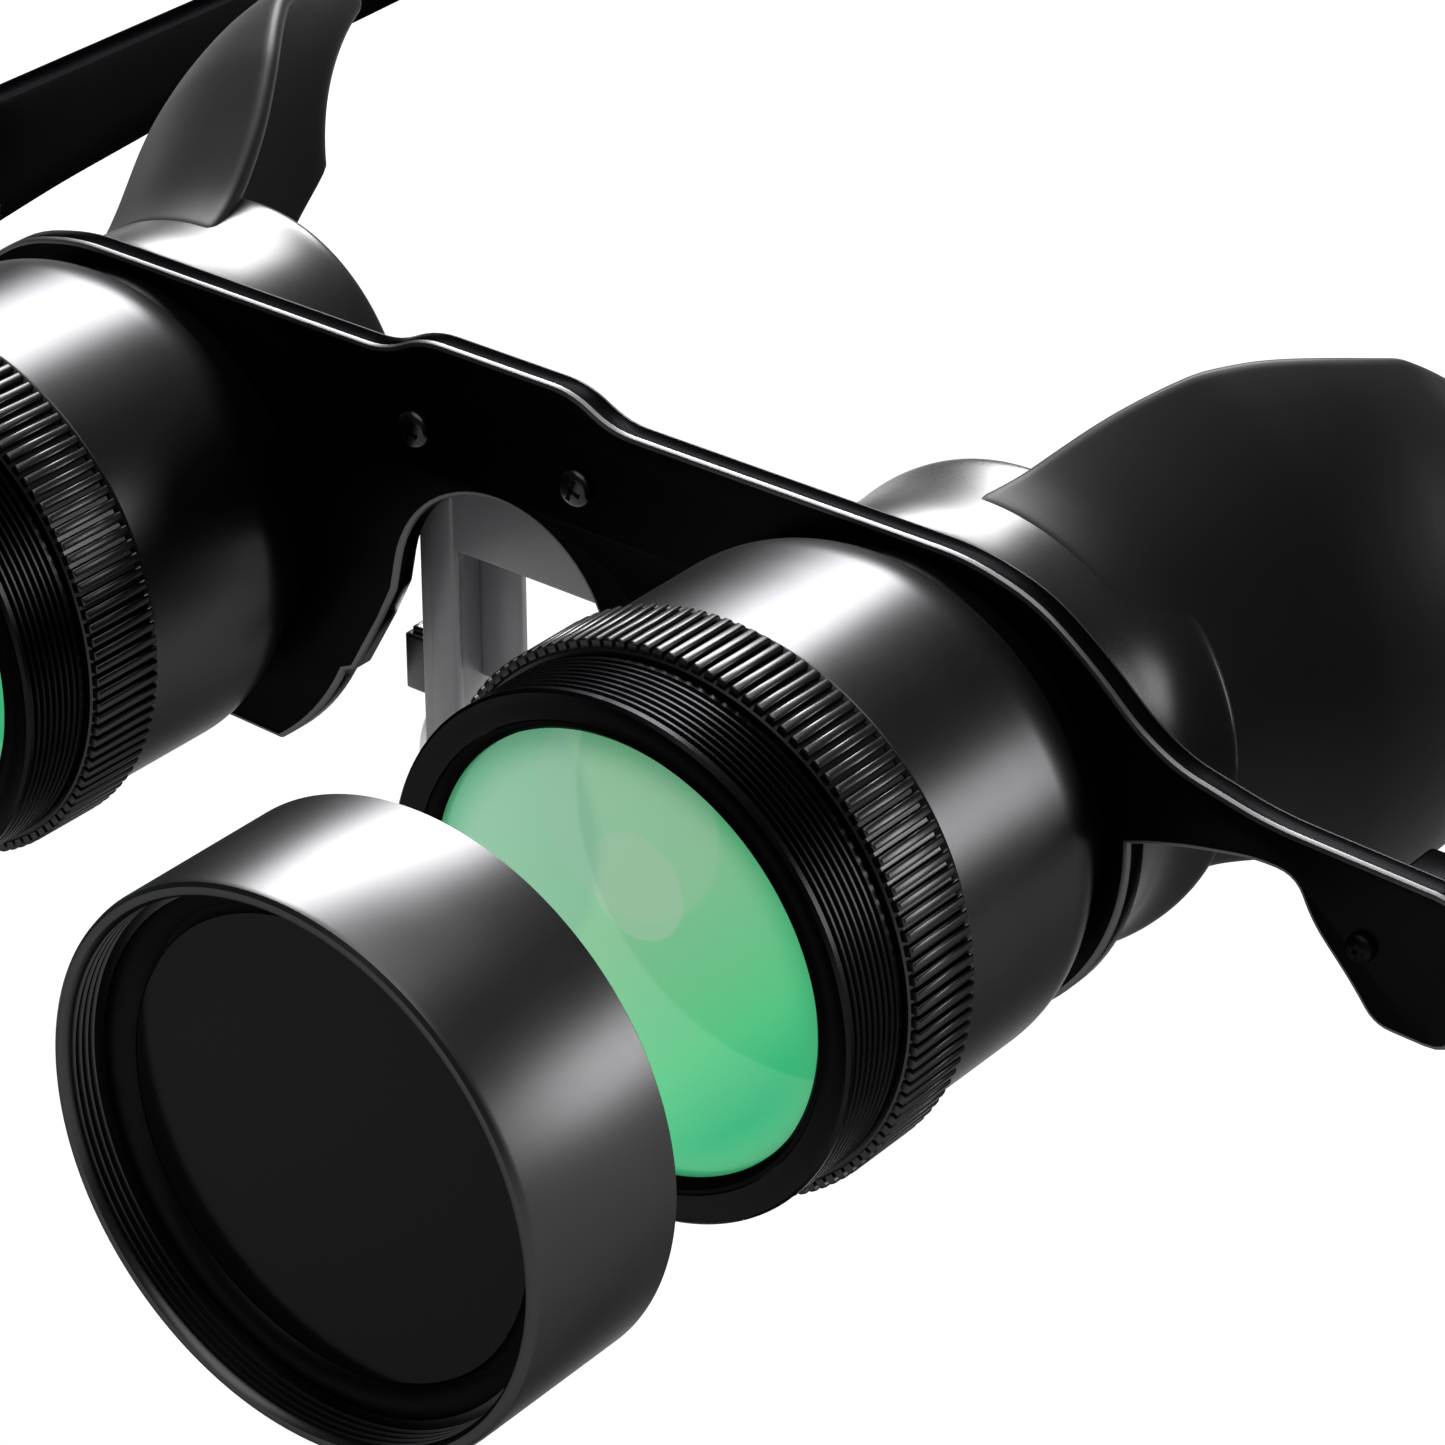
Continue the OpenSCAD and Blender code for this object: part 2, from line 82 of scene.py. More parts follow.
# %% Measure the two axes and the reference plane
body_low, body_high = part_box("barrel_body_right")
plate_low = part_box("front_plate")[0]
AXIS_X = (body_low.x + body_high.x) / 2
AXIS_Z = (body_low.z + body_high.z) / 2
PLANE_Y = plate_low.y + 3.2 * MM
FILTER_REAR = -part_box("filter_ring_right")[1].y + PLANE_Y
FILTER_FRONT = -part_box("filter_ring_right")[0].y + PLANE_Y


def spot(x, station, height):
    """A point from millimetres: across, forward of the plane, above the axes."""
    return Vector((x * MM, PLANE_Y - station * MM, AXIS_Z + height * MM))


print("axes", round(AXIS_X / MM, 2), "mm either side; filter from station",
      round(FILTER_REAR / MM, 2), "to", round(FILTER_FRONT / MM, 2))

# %% [markdown]
# ## Sums on sockets
# A material is a small circuit of nodes. Written node by node it is long and hard to
# read, so one class wraps a socket and lets plain sums build the Math nodes, and one
# method makes any other node from its settings and its inputs.

# %% A socket that can be added and multiplied
class Wire:
    """One socket of a material, on which sums can be written."""

    def __init__(self, finish, socket):
        self.finish, self.socket = finish, socket

    def sum(self, operation, first, second):
        return self.finish.node("ShaderNodeMath", {"operation": operation}, {0: first, 1: second})

    def __add__(self, other): return self.sum("ADD", self, other)
    def __sub__(self, other): return self.sum("SUBTRACT", self, other)
    def __mul__(self, other): return self.sum("MULTIPLY", self, other)
    def __truediv__(self, other): return self.sum("DIVIDE", self, other)
    def __pow__(self, other): return self.sum("POWER", self, other)


class Finish:
    """A procedural material: one Principled shader and the nodes that feed it."""

    def __init__(self, name, **constants):
        self.material = bpy.data.materials.new(name)
        self.material.use_nodes = True
        self.tree = self.material.node_tree
        self.shader = next(n for n in self.tree.nodes if n.type == "BSDF_PRINCIPLED")
        self.name = name
        for key, value in constants.items():
            self.shader.inputs[key.replace("_", " ")].default_value = value

    def node(self, kind, settings=None, inputs=None, out=0):
        made = self.tree.nodes.new(kind)
        for key, value in (settings or {}).items():
            if key == "ramp":
                for i, (place, colour) in enumerate(value):
                    stops = made.color_ramp.elements
                    stop = stops[i] if i < 2 else stops.new(place)
                    stop.position, stop.color = place, (*colour, 1)
            else:
                setattr(made, key, value)
        for key, value in (inputs or {}).items():
            if isinstance(value, Wire):
                self.tree.links.new(value.socket, made.inputs[key])
            else:
                made.inputs[key].default_value = value
        return Wire(self, made.outputs[out])

    def feed(self, **wires):
        for key, wire in wires.items():
            self.tree.links.new(wire.socket, self.shader.inputs[key.replace("_", " ")])
        return self

    def place(self):
        return self.node("ShaderNodeTexCoord", out="Object")

    def noise(self, scale, detail=3, stretch=(1, 1, 1), rough=0.5):
        turned = self.node("ShaderNodeMapping", {}, {"Vector": self.place(), "Scale": stretch})
        return self.node("ShaderNodeTexNoise", {}, {"Vector": turned, "Scale": scale,
                                                    "Detail": detail, "Roughness": rough})

    def between(self, share, first, second):
        """A colour from first to second by share."""
        first, second = (c if isinstance(c, Wire) else (*c, 1) for c in (first, second))
        return self.node("ShaderNodeMix", {"data_type": "RGBA"},
                         {0: share, 6: first, 7: second}, out=2)

    def bump(self, height, strength, distance):
        return self.node("ShaderNodeBump", {}, {"Height": height, "Strength": strength,
                                                "Distance": distance})


print("sockets can now be added and multiplied")

# %% [markdown]
# ## Black anodised aluminium
# The barrels, cells and filters are turned aluminium with a black anodised skin. Only
# the dye darkens the metal, so the finish is a metal with a very dark reflection: bright
# where a light is mirrored and black elsewhere. The specular tint keeps grazing views
# dark too, which a black dielectric would not do. Very fine turning marks run round the
# axis. The plate and temples are darker still, and the plate's bevel is a machined edge
# that shines more.

# %% Finishes for the metal parts
def anodised(name, shade, roughness, turning=0.0):
    """Dyed metal: a dark reflection, with cloudy tone and fine marks from turning."""
    f = Finish(name, Metallic=1.0, Specular_Tint=(0.4, 0.4, 0.4, 1))
    cloud = f.noise(90, 4)
    fine = f.noise(2600, 2)
    f.feed(Base_Color=f.between(cloud, [c * 0.8 for c in shade], [c * 1.25 for c in shade]),
           Roughness=cloud * 0.05 + fine * 0.04 + (roughness - 0.045))
    height = fine * 0.3
    if turning:
        # Rings of tool marks: noise that varies fast along the axis and hardly round it.
        marks = f.noise(1, 3, (60, 5200, 60))
        height = height + marks * turning
    f.feed(Normal=f.bump(height, 0.08, 0.00001))
    return f.material


BARREL_BLACK = anodised("barrel_black", (0.036, 0.036, 0.037), 0.31, 0.12)
CELL_BLACK = anodised("cell_black", (0.010, 0.010, 0.0106), 0.3, 0.1)
FILTER_BLACK = anodised("filter_black", (0.040, 0.040, 0.041), 0.33, 0.12)
INNER_BLACK = anodised("inner_black", (0.006, 0.006, 0.006), 0.45, 0.1)
PLATE_BLACK = anodised("plate_black", (0.004, 0.004, 0.0042), 0.34)
RIB_BLACK = anodised("rib_black", (0.032, 0.032, 0.033), 0.32, 0.05)
TEMPLE_BLACK = anodised("temple_black", (0.003, 0.003, 0.0032), 0.36)
EDGE_BLACK = anodised("edge_black", (0.075, 0.075, 0.077), 0.36)
print("eight blacks made")

# %% [markdown]
# ## Rubber, plastic, glass and small metals
# Rubber scatters light, so it is rough, with a little sheen and a fine grain that only
# the bump shows. The lens carries a green coating. Its colour holds painted light: it is
# painted pale where it faces the upper left and vivid at the lower right and along the
# edge, with faint round painted reflections of the glasses behind it, and it glows
# faintly by emission. Those are worked out from the distance to the lens's own axis.

# %% Finishes for soft and clear parts
def rubber(name, shade, roughness=0.5, specular=0.14):
    """Soft matt rubber: fine grain, faint dust in the tone and a slight velvet edge."""
    f = Finish(name, Specular_IOR_Level=specular, Sheen_Weight=0.015, Sheen_Roughness=0.4)
    grain, dust = f.noise(3400, 3), f.noise(55, 4)
    f.feed(Base_Color=f.between(dust, [c * 0.8 for c in shade], [c * 1.35 for c in shade]),
           Roughness=dust * 0.1 + grain * 0.08 + (roughness - 0.09),
           Normal=f.bump(grain * 0.7 + dust * 0.3, 0.1, 0.00002))
    return f.material


def moulded(name, shade, roughness=0.35, grain=900):
    """Moulded plastic with a fine spark-eroded texture."""
    f = Finish(name, Specular_IOR_Level=0.5)
    fine, slow = f.noise(grain, 3), f.noise(70, 2)
    f.feed(Base_Color=f.between(slow, [c * 0.9 for c in shade], [min(1, c * 1.1) for c in shade]),
           Roughness=fine * 0.12 + (roughness - 0.06),
           Normal=f.bump(fine, 0.2, 0.00005))
    return f.material


def steel(name, shade, roughness=0.3):
    """Turned metal with thin scratches along one direction."""
    f = Finish(name, Metallic=1.0)
    lines = f.noise(1, 4, (7000, 300, 300))
    f.feed(Base_Color=f.between(lines, [c * 0.75 for c in shade], shade),
           Roughness=lines * 0.18 + (roughness - 0.09),
           Normal=f.bump(lines, 0.25, 0.00002))
    return f.material


def offsets(f, x, height):
    """How far across and up a point is, in millimetres, from x and height."""
    split = f.tree.nodes.new("ShaderNodeSeparateXYZ")
    f.tree.links.new(f.place().socket, split.inputs[0])
    across = (Wire(f, split.outputs["X"]) - x * MM) * 1000
    up = (Wire(f, split.outputs["Z"]) - (AXIS_Z + height * MM)) * 1000
    return across, up


def distance(f, x, height):
    """Distance in millimetres from a line along the axis, through x and height."""
    across, up = offsets(f, x, height)
    return (across * across + up * up) ** 0.5


def disc(f, x, height, radius, soft):
    """1 inside a round spot and 0 outside it, with a soft edge."""
    return f.node("ShaderNodeMapRange", {"interpolation_type": "SMOOTHSTEP"},
                  {"Value": distance(f, x, height), "From Min": radius + soft,
                   "From Max": radius - soft, "To Min": 0.0, "To Max": 1.0})


def coated_lens(name, x):
    """Green coated glass, drawn as a thick pane with its coating as colour; that colour holds
    painted light and painted reflections, and the lens glows faintly.
    """
    f = Finish(name, Specular_IOR_Level=0.35, IOR=1.5)
    across, up = offsets(f, x, 0)
    # Painted light: the colour turns pale towards the upper left, the side facing the main lamp,
    # and vivid towards the lower right.
    painted_light_slope = (across - up) / 34 + 0.5
    rim = disc(f, x, 0, 13.2, 1.6)
    tone = f.node("ShaderNodeValToRGB", {"ramp": [
        (0.0, (0.50, 0.95, 0.62)), (1.0, (0.02, 0.60, 0.25)),
        (0.45, (0.34, 0.84, 0.45)), (0.8, (0.14, 0.82, 0.34))]}, {0: painted_light_slope})
    tone = f.between(rim, (0.10, 0.72, 0.30), tone)
    # Painted reflections: two faint pale round ghosts of the glasses behind the lens.
    painted_ghost = f.between(disc(f, x + 1.2, 5.2, 3.4, 0.12) * 0.42, tone, (0.62, 0.88, 0.66))
    arc = f.between(disc(f, x + 0.4, 9.6, 6.6, 0.2) * 0.22, painted_ghost, (0.62, 0.88, 0.66))
    # A darker bluish patch is painted over the left part of the lens.
    veil = f.between(disc(f, x - 12.0, 6.0, 10.5, 0.6) * 0.35, arc, (0.22, 0.62, 0.42))
    f.feed(Base_Color=veil, Emission_Color=veil, Roughness=f.noise(120, 2) * 0.03 + 0.03)
    # Painted light: the lens glows faintly by emission, though it is no lamp.
    f.shader.inputs["Emission Strength"].default_value = 0.22
    return f.material


def dark_pane(name):
    """Dark neutral glass: nearly black, with painted light that makes its upper part slightly
    lighter.
    """
    f = Finish(name, Specular_IOR_Level=0.03, IOR=1.5)
    split = f.tree.nodes.new("ShaderNodeSeparateXYZ")
    f.tree.links.new(f.place().socket, split.inputs[0])
    # Painted light: the base colour grows lighter towards the top of the glass.
    height = (Wire(f, split.outputs["Z"]) - AXIS_Z) * 30 + 0.5
    f.feed(Base_Color=f.between(height, (0.0016, 0.0016, 0.0018), (0.0062, 0.0066, 0.0078)),
           Roughness=f.noise(60, 2) * 0.05 + 0.09)
    return f.material


CUP_RUBBER = rubber("cup_rubber", (0.005, 0.005, 0.0052), 0.3, 0.12)
WING_RUBBER = rubber("wing_rubber", (0.0036, 0.0036, 0.004), 0.5, 0.06)
EAR_RUBBER = rubber("ear_rubber", (0.006, 0.006, 0.0065), 0.45)
SEAL_RUBBER = rubber("seal_rubber", (0.01, 0.01, 0.01), 0.5)
GREY_PLASTIC = moulded("grey_plastic", (0.13, 0.132, 0.138), 0.34)
DARK_PLASTIC = moulded("dark_plastic", (0.004, 0.004, 0.0046), 0.3)
CLEAR_SILICONE = moulded("clear_silicone", (0.80, 0.82, 0.80), 0.28, 400)
PLATING = steel("bright_plating", (0.86, 0.87, 0.89), 0.16)
SCREW_STEEL = steel("screw_steel", (0.03, 0.03, 0.032), 0.26)
PIN_STEEL = steel("pin_steel", (0.5, 0.5, 0.5), 0.3)
EYE_GLASS = dark_pane("eye_glass")
FILTER_GLASS = dark_pane("filter_glass")
print("soft, clear and small metal finishes made")

# %% [markdown]
# ## Turning a part
# A turned part is a profile spun round the axis. The profile is drawn as a closed loop
# of radius and station, and `bmesh.ops.spin` carries it round. A Bevel modifier then
# breaks the sharp edges by a tenth of a millimetre, which is what makes a machined
# edge catch the light.

# %% The helpers that turn, trim and place a part
def to_object(bm, name, material, body, slot, *nodes, edge=0.1, segments=2, angle=32, smooth=None):
    """Closes a bmesh into a piece that rides on a body and stands for nodes."""
    bmesh.ops.remove_doubles(bm, verts=bm.verts, dist=1e-7)
    bmesh.ops.recalc_face_normals(bm, faces=bm.faces)
    mesh = bpy.data.meshes.new(name)
    bm.to_mesh(mesh)
    bm.free()
    mesh.materials.append(material)
    mesh.shade_smooth()
    mesh.set_sharp_from_angle(angle=math.radians(smooth or angle))
    piece = bpy.data.objects.new(name, mesh)
    bpy.context.scene.collection.objects.link(piece)
    if edge:
        trim = piece.modifiers.new("edge", "BEVEL")
        trim.width, trim.segments, trim.angle_limit = edge * MM, segments, math.radians(angle)
        trim.limit_method, trim.harden_normals, trim.miter_outer = "ANGLE", True, "MITER_ARC"
    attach(piece, body)
    if nodes:
        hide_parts(*nodes)
    return piece


def arc(centre, radius, start, end, steps):
    """Points of an arc, from one angle to another, in degrees."""
    turns = [math.radians(start + (end - start) * i / steps) for i in range(steps + 1)]
    return [(centre[0] + radius * math.cos(t), centre[1] + radius * math.sin(t)) for t in turns]


def lathe(profile, side, steps=160, closed=True):
    """A bmesh of a profile of (radius, station) turned about a telescope's axis."""
    bm = bmesh.new()
    x = SIDES[side] * AXIS_X / MM
    loop = [bm.verts.new(spot(x, station, radius)) for radius, station in profile]
    pairs = list(zip(loop, loop[1:] + loop[:1])) if closed else list(zip(loop, loop[1:]))
    edges = [bm.edges.new(pair) for pair in pairs if pair[0].co != pair[1].co]
    bmesh.ops.spin(bm, geom=loop + edges, cent=spot(x, 0, 0), axis=(0, 1, 0), dvec=(0, 0, 0),
                   angle=math.tau, steps=steps, use_merge=True, use_duplicate=False)
    return bm


def dome(radius, station, sag, steps=10):
    """Profile of a shallow lens face, from the axis to its edge."""
    return [(radius * i / steps, station + sag * (1 - (i / steps) ** 2)) for i in range(steps + 1)]


print("ready to turn")

# %% [markdown]
# ## Telescope bodies
# Each body swells from the plate in a rounded shoulder to a plain cylinder. The
# shoulder is an arc in the profile, with enough points to stay round up close.

# %% Turn the bodies, nuts and eyepieces
for side in SIDES:
    shoulder = arc((11.15, 9.3), 6.1, -48, 0, 14)
    body = [(11.2, -1.2), (12.8, -1.2), (12.8, 1.4), (15.0, 1.4), (15.0, 3.9)] + shoulder
    body += [(17.25, 12), (17.25, 16), (17.25, 19.5), (16.95, 19.8), (15.6, 19.8),
             (15.6, 24.6), (14.36, 24.6), (14.36, 12), (11.2, 10)]
    to_object(lathe(body, side, 200), f"{side}_body", BARREL_BLACK, "frame", "black_barrel",
              f"barrel_body_{side}", edge=0.07, angle=24)
    nut = [(13.0, -1.0), (14.3, -1.0), (14.3, 1.15), (13.0, 1.15)]
    to_object(lathe(nut, side, 96), f"{side}_nut", CELL_BLACK, "frame", "black_barrel",
              f"clamp_nut_{side}", edge=0.15)
    cell = [(9.2, 8), (10.9, 8), (10.9, -1.5), (14.5, -1.5), (14.5, -3.2), (12.2, -3.2),
            (11.6, -2.6), (9.95, -2.6), (9.95, 1.5), (9.2, 1.5)]
    to_object(lathe(cell, side, 128), f"{side}_eyepiece", CELL_BLACK, "frame", "black_barrel",
              f"eyepiece_cell_{side}", edge=0.12)
    keeper = [(8.6, -0.9), (9.85, -0.9), (9.85, -2.0), (9.1, -2.3), (8.6, -1.9)]
    to_object(lathe(keeper, side, 128), f"{side}_eye_keeper", INNER_BLACK, "frame",
              "black_barrel", f"eyepiece_retainer_{side}", edge=0.05)
    pane = dome(9.8, 1.4, -0.9) + dome(9.8, -0.85, 0.75)[::-1]
    to_object(lathe(pane, side, 96), f"{side}_eye_lens", EYE_GLASS, "frame", "clear_lens",
              f"eyepiece_lens_{side}", edge=0, smooth=30)
print("bodies turned")

# %% [markdown]
# ## Ribbed focus rings
# The grip is a ring with 120 straight ribs. One rib is a small block with bevelled
# edges, and `bmesh.ops.spin` repeats it round the axis as duplicates. The ring under it
# is an ordinary turned part. Separate ribs keep the bevel along each one even, which
# gaps cut out of a ring would not.

# %% Turn the focus rings and lay their ribs
RIBS = 120
for side in SIDES:
    x = SIDES[side] * AXIS_X / MM
    base = [(15.66, 20.12), (17.2, 20.12), (17.5, 20.4), (17.5, 25.4), (17.2, 25.68), (14.4, 25.68),
            (14.4, 24.9), (15.66, 24.9)]
    bm = lathe(base, side, 180)
    rib = bmesh.new()
    bmesh.ops.create_cube(rib, size=1)
    bmesh.ops.scale(rib, vec=(0.6 * MM, 5.4 * MM, 0.6 * MM), verts=rib.verts)
    long_edges = [e for e in rib.edges if all(v.co.z > 0 for v in e.verts)]
    bmesh.ops.bevel(rib, geom=long_edges, offset=0.16 * MM, segments=2, profile=0.5,
                    affect="EDGES", material=-1)
    bmesh.ops.translate(rib, vec=spot(x, 22.9, 17.65), verts=rib.verts)
    bmesh.ops.spin(rib, geom=rib.verts[:] + rib.edges[:] + rib.faces[:], cent=spot(x, 0, 0),
                   axis=(0, 1, 0), angle=math.tau * (RIBS - 1) / RIBS, steps=RIBS - 1,
                   use_duplicate=True)
    loose = bpy.data.meshes.new("ribs")
    rib.to_mesh(loose)
    rib.free()
    bm.from_mesh(loose)
    to_object(bm, f"{side}_focus_grip", RIB_BLACK, f"{side}_focus_ring", "ribbed_black",
              f"focus_ring_{side}", edge=0, smooth=40)
print(RIBS, "ribs on each ring")

# %% [markdown]
# ## Objective heads, seals and bezels
# The front ring of each telescope carries a fine outside thread, seen as a few even
# grooves. A thread this fine reads as separate rings, so each groove is a small V in
# the profile. Inside it a thin bezel holds the coated lens.

# %% Turn the heads, their bezels and the coated lenses
for side in SIDES:
    grooves = []
    for i in range(8):
        at = 26.35 + 0.53 * i
        grooves += [(17.0, at), (16.68, at + 0.14), (16.68, at + 0.24), (17.0, at + 0.38)]
    head = [(13.2, 13), (14.3, 13), (14.3, 25.92), (16.85, 25.92), (17.0, 26.05)] + grooves
    head += [(17.0, 30.78), (16.8, 30.98), (16.1, 31.0), (15.7, 30.85), (15.1, 30.85),
             (15.05, 27.6), (13.2, 27.6)]
    to_object(lathe(head, side, 200), f"{side}_head", CELL_BLACK, f"{side}_objective",
              "black_barrel", f"objective_cell_{side}", edge=0, smooth=28)
    bezel = [(14.3, 29.95), (15.0, 29.95), (15.04, 30.8), (14.75, 30.84), (14.4, 30.45)]
    to_object(lathe(bezel, side, 200), f"{side}_lens_bezel", INNER_BLACK, f"{side}_objective",
              "black_barrel", f"objective_bezel_{side}", edge=0.04)
    ring = arc((14.5, 27.85), 0.22, 0, 330, 11)
    to_object(lathe(ring, side, 96), f"{side}_seal", SEAL_RUBBER, f"{side}_objective",
              "black_rubber", f"objective_seal_{side}", edge=0, smooth=60)
    lens = dome(14.95, 28.2, -0.8, 16) + dome(14.95, 29.8, 0.62, 16)[::-1]
    to_object(lathe(lens, side, 160), f"{side}_lens",
              coated_lens(f"coated_lens_{side}", SIDES[side] * AXIS_X / MM),
              f"{side}_objective", "coated_lens", f"objective_lens_{side}", edge=0, smooth=30)
print("heads and lenses in place")

# %% [markdown]
# ## Pulled-off filters
# A filter is a smooth ring with a dark glass set deep in its front. Its front mouth has
# a fine inside thread, so the grooves are cut into the inner wall of the profile.

# %% Turn the filters
back, front = FILTER_REAR / MM, FILTER_FRONT / MM
for side in SIDES:
    thread = []
    for i in range(4):
        at = front - 0.55 - 0.5 * i
        thread += [(16.6, at), (16.82, at - 0.14), (16.82, at - 0.22), (16.6, at - 0.36)]
    shell = [(17.06, back), (17.4, back), (17.6, back + 0.2), (17.6, front - 0.55),
             (17.52, front - 0.25), (17.3, front - 0.05), (17.05, front), (16.85, front - 0.06),
             (16.66, front - 0.3)] + thread
    shell += [(16.6, front - 2.6), (16.1, front - 2.6), (16.1, front - 4.6),
              (14.3, front - 4.6), (14.3, front - 6), (17.06, front - 6)]
    to_object(lathe(shell, side, 200), f"{side}_filter_shell", FILTER_BLACK, f"{side}_filter",
              "black_barrel", f"filter_ring_{side}", edge=0, smooth=30)
    keeper = [(14.25, front - 3.35), (16.09, front - 3.35), (16.09, front - 2.7),
              (15.3, front - 2.62), (14.5, front - 3.0)]
    to_object(lathe(keeper, side, 200), f"{side}_filter_keeper", INNER_BLACK, f"{side}_filter",
              "black_barrel", f"filter_bezel_{side}", edge=0.05)
    pane = [(0, front - 4.55)] + [(r, front - 4.55) for r in (8, 15.95)]
    pane += [(15.95, front - 3.4), (8, front - 3.4), (0, front - 3.4)]
    to_object(lathe(pane, side, 120), f"{side}_filter_pane", FILTER_GLASS, f"{side}_filter",
              "dark_glass", f"filter_glass_{side}", edge=0, smooth=30)
print("filters turned")

# %% [markdown]
# ## The front plate
# The plate is a flat sheet with a machined outline and a small bevel all round both
# faces. Half the outline is drawn as a flat face, mirrored, given its thickness with an
# extrusion and bevelled. A boolean of circles and boxes would give the same outline but
# ragged triangles along the bevel.

# %% Draw, mirror, thicken and bevel the plate
def slab(outline, rear, front_station, name, material, slot, *nodes, bevel=0.2, mirror=False,
         body="frame", rim=None):
    """A flat part from an outline of (x, height), between two stations."""
    bm = bmesh.new()
    bm.faces.new([bm.verts.new(spot(x, rear, z)) for x, z in outline])
    if mirror:
        bmesh.ops.mirror(bm, geom=bm.verts[:] + bm.edges[:] + bm.faces[:],
                         matrix=Matrix.Identity(4), merge_dist=1e-6, axis="X")
        bmesh.ops.remove_doubles(bm, verts=bm.verts, dist=1e-6)
        seam = [e for e in bm.edges if all(abs(v.co.x) < 1e-6 for v in e.verts)]
        bmesh.ops.dissolve_edges(bm, edges=seam, use_verts=False)
    bmesh.ops.recalc_face_normals(bm, faces=bm.faces)
    grown = bmesh.ops.extrude_face_region(bm, geom=bm.faces[:])
    moved = [g for g in grown["geom"] if isinstance(g, bmesh.types.BMVert)]
    bmesh.ops.translate(bm, vec=(0, -(front_station - rear) * MM, 0), verts=moved)
    lip = [e for e in bm.edges if abs(e.verts[0].co.y - e.verts[1].co.y) < 1e-7]
    bmesh.ops.bevel(bm, geom=lip, offset=bevel * MM, segments=2, profile=0.5, affect="EDGES",
                    material=1 if rim else -1, clamp_overlap=True)
    piece = to_object(bm, name, material, body, slot, *nodes, edge=0, smooth=38)
    if rim:
        piece.data.materials.append(rim)
    return piece


def soften(points, reach, steps=5):
    """Rounds the corners of an open outline with short curves."""
    made = [points[0]]
    for before, corner, after in zip(points, points[1:], points[2:]):
        p, c, q = Vector(before), Vector(corner), Vector(after)
        cut = min(reach, (p - c).length * 0.45, (q - c).length * 0.45)
        a, b = c + (p - c).normalized() * cut, c + (q - c).normalized() * cut
        for i in range(steps + 1):
            t = i / steps
            made.append(tuple(a * (1 - t) ** 2 + c * 2 * t * (1 - t) + b * t * t))
    return made + [points[-1]]


cx = AXIS_X / MM
top_run = soften([(0, 17.9), (6.2, 17.9), (9.4, 16.2), (cx + 4.6, 16.2), (cx + 9.6, 14.9),
                  (cx + 13.6, 12.1), (cx + 17.2, 8.9), (cx + 20, 7.3), (cx + 26.2, 5.9),
                  (71.9, 5.3), (71.9, -5.1), (66.2, -4.9), (64.6, -2.8), (61.6, 0.4),
                  (60.3, 3.0), (57.6, 3.1), (53, 2.2), (50.2, 1.4)], 2.2)
lower = arc((cx, 0), 16.8, 3, -68.6, 24)
nose_side = arc((cx, 0), 20.2, 233.3, 206, 10)
inner = [(12.9, -8.4), (10.4, -3.9), (9.1, -1.2)]
arch = arc((0, -0.6), 8.8, 12, 90, 14)
plate_line = top_run + lower + [(19.93, -16.2)] + nose_side[1:] + inner + arch
slab(plate_line, 1.2, 3.2, "plate", PLATE_BLACK, "black_plate", "front_plate", bevel=0.35,
     mirror=True, rim=EDGE_BLACK)
print(len(plate_line), "points in half the plate's outline")

# %% [markdown]
# ## Screws
# The bridge screws are small pan heads with a cross recess. The head is turned, and the
# recess is not cut: the cross is two thin black bars let into its top, painted shade that
# stands for the dark of the recess. At this size a dark bar reads as a slot, and the
# round head stays free of the ragged triangles that a boolean cut would leave.

# %% Turn the screws and lay in their crosses
def screw(x, height, radius, name, material):
    """A pan-head screw on the plate's face, its cross recess painted as two dark bars."""
    bm = bmesh.new()
    head = [(0, 3.0), (radius, 3.0), (radius, 3.45)] + arc((radius - 0.45, 3.45), 0.45, 0, 70, 5)
    head += [(radius * 0.45, 4.0), (0, 4.02)]
    loop = [bm.verts.new(spot(x, s, height + r)) for r, s in head]
    edges = [bm.edges.new(pair) for pair in zip(loop, loop[1:])]
    bmesh.ops.spin(bm, geom=loop + edges, cent=spot(x, 0, height), axis=(0, 1, 0), angle=math.tau,
                   steps=40, use_merge=True, use_duplicate=False)
    # Painted shade: two black bars stand in for the shaded cross recess.
    for turn in (20, 110):
        bar = bmesh.ops.create_cube(bm, size=1)["verts"]
        bmesh.ops.scale(bm, vec=(radius * 1.15 * MM, 0.06 * MM, 0.3 * MM), verts=bar)
        bmesh.ops.rotate(bm, cent=(0, 0, 0), verts=bar,
                         matrix=Matrix.Rotation(math.radians(turn), 3, "Y"))
        bmesh.ops.translate(bm, vec=spot(x, 4.0, height), verts=bar)
        for face in {f for v in bar for f in v.link_faces}:
            face.material_index = 1
    piece = to_object(bm, name, material, "frame", "dark_steel", edge=0, smooth=40)
    piece.data.materials.append(INNER_BLACK)
    return piece


bridge = [screw(s * 6.7, 11.5, 1.3, f"bridge_screw_{n}", SCREW_STEEL) for n, s in SIDES.items()]
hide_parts("bridge_screws", "bridge_inserts")
hinge = [screw(s * 65.2, 0.2, 0.95, f"hinge_screw_{n}", INNER_BLACK) for n, s in SIDES.items()]
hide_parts("hinge_screws")
print("four screws")

# %% [markdown]
# ## The nose rest
# Behind the bridge a grey moulded bracket carries two legs. A small block slides on each
# leg and holds a clear silicone pad. The hard parts are moulded, so every edge is
# rounded: each is a block shaped with a bevel of several segments. A pad is soft and
# domed on both faces, so it is a flattened ball.

